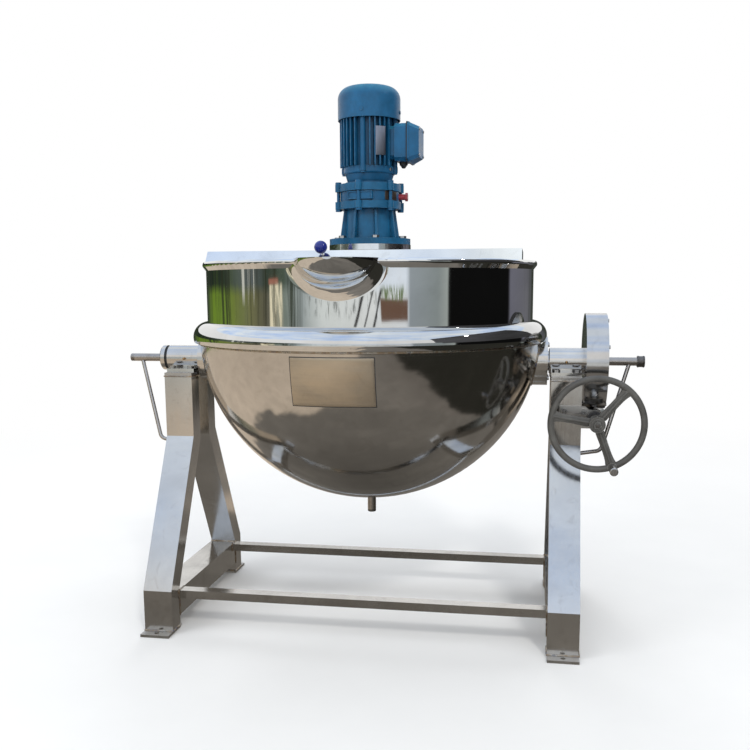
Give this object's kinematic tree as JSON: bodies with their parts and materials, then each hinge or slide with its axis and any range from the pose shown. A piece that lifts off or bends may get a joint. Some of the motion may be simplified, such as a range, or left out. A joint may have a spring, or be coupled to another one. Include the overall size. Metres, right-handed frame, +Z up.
{
  "type": "steam jacketed kettle",
  "caption": "Tilting steam jacketed cooking kettle on a splayed-leg stand, with pouring spout, worm-gear handwheel tilt, and a geared motor on a bridge that turns a scraping stirrer.",
  "frame": {"origin": "on the floor, at the centre of the rectangle of anchor holes, under the pot's axis", "axes": "+Z up along the pot's axis; +X along the trunnions towards the handwheel; -Y towards the pouring spout"},
  "size_m": [1.643, 1.1469, 1.64],
  "materials": {
    "polished_stainless": "mirror polished sheet",
    "satin_stainless": "satin rectangular tube and plate",
    "stainless_pipe": "drawn pipe",
    "machined_steel": "turned steel",
    "fasteners": "plain stainless screws",
    "bronze": "bored bushes",
    "packing": "braided graphite packing",
    "dark_iron": "dark grey-green cast iron",
    "gear_iron": "cast and hobbed, greased",
    "motor_blue": "gloss blue paint",
    "flange_teal": "gloss teal paint",
    "plug_red": "moulded",
    "knob_blue": "moulded ball",
    "scraper_plastic": "white low-friction plastic",
    "fan_plastic": "moulded",
    "gland_plastic": "moulded",
    "bright_steel": "bright plated"
  },
  "bodies": {
    "stand": {"leg_front_left": "satin_stainless", "leg_front_right": "satin_stainless", "leg_rear_left": "satin_stainless", "leg_rear_right": "satin_stainless", "foot_plates": "satin_stainless", "base_beams": "satin_stainless", "cross_rails": "satin_stainless", "bearing_plates": "satin_stainless", "bearing_housing_left": "satin_stainless", "bearing_housing_right": "satin_stainless", "bronze_bushes": "bronze", "stand_fasteners": "fasteners", "grease_nipples": "bright_steel", "gland_packing": "packing", "gland_cap": "stainless_pipe", "condensate_pipe": "stainless_pipe", "steam_pipe": "stainless_pipe", "steam_union": "stainless_pipe", "stay_rod_left": "stainless_pipe", "stay_rod_right": "stainless_pipe", "worm_casing": "satin_stainless", "worm_casing_cover": "satin_stainless", "worm_brackets": "satin_stainless", "worm_bracket_strap": "satin_stainless"},
    "kettle": {"inner_pot": "polished_stainless", "pouring_spout": "polished_stainless", "jacket_bowl": "polished_stainless", "jacket_shoulder": "polished_stainless", "trunnion_bosses": "machined_steel", "trunnion_shafts": "machined_steel", "worm_wheel": "gear_iron", "wheel_key": "machined_steel", "drain_nipple": "stainless_pipe", "drain_plug": "stainless_pipe", "bridge": "polished_stainless", "ball_knob": "knob_blue", "mounting_disc": "polished_stainless", "output_housing": "motor_blue", "gear_ring": "motor_blue", "oil_plug": "plug_red", "input_flange": "flange_teal", "housing_bolts": "fasteners", "kettle_fasteners": "fasteners", "motor_end_shield": "motor_blue", "motor_frame": "motor_blue", "motor_rear_shield": "motor_blue", "motor_bolts": "fasteners", "fan_cover": "motor_blue", "terminal_box": "motor_blue", "terminal_lid": "motor_blue", "cable_gland": "gland_plastic"},
    "handwheel_set": {"worm_shaft": "machined_steel", "handwheel": "dark_iron", "handle_pin": "bright_steel"},
    "crank_grip": {"crank_handle": "bright_steel"},
    "stirrer": {"stirrer_shaft": "polished_stainless", "stirrer_frame": "polished_stainless", "scraper_blades": "scraper_plastic"},
    "motor_rotor": {"rotor": "machined_steel", "cooling_fan": "fan_plastic"}
  },
  "joints": [
    {"name": "kettle_tilt", "type": "hinge", "parent": "stand", "child": "kettle", "pos_m": [0, 0, 0.819], "axis": [1, 0, 0], "range_deg": [0, 90]},
    {"name": "handwheel_turn", "type": "hinge", "parent": "stand", "child": "handwheel_set", "pos_m": [0.69, 0, 0.6552], "axis": [0, 1, 0], "range_deg": [-3780, 0]},
    {"name": "crank_handle_spin", "type": "hinge", "parent": "handwheel_set", "child": "crank_grip", "pos_m": [0.73463, -0.24, 0.53257], "axis": [0, 1, 0], "continuous": true},
    {"name": "stirrer_spin", "type": "hinge", "parent": "kettle", "child": "stirrer", "pos_m": [0, 0, 0.9], "axis": [0, 0, 1], "continuous": true},
    {"name": "rotor_spin", "type": "hinge", "parent": "kettle", "child": "motor_rotor", "pos_m": [0, 0, 1.45], "axis": [0, 0, 1], "continuous": true}
  ],
  "couplings": [
    {"joint": "handwheel_turn", "follows": "kettle_tilt", "ratio": -42},
    {"joint": "rotor_spin", "follows": "stirrer_spin", "ratio": 35}
  ]
}
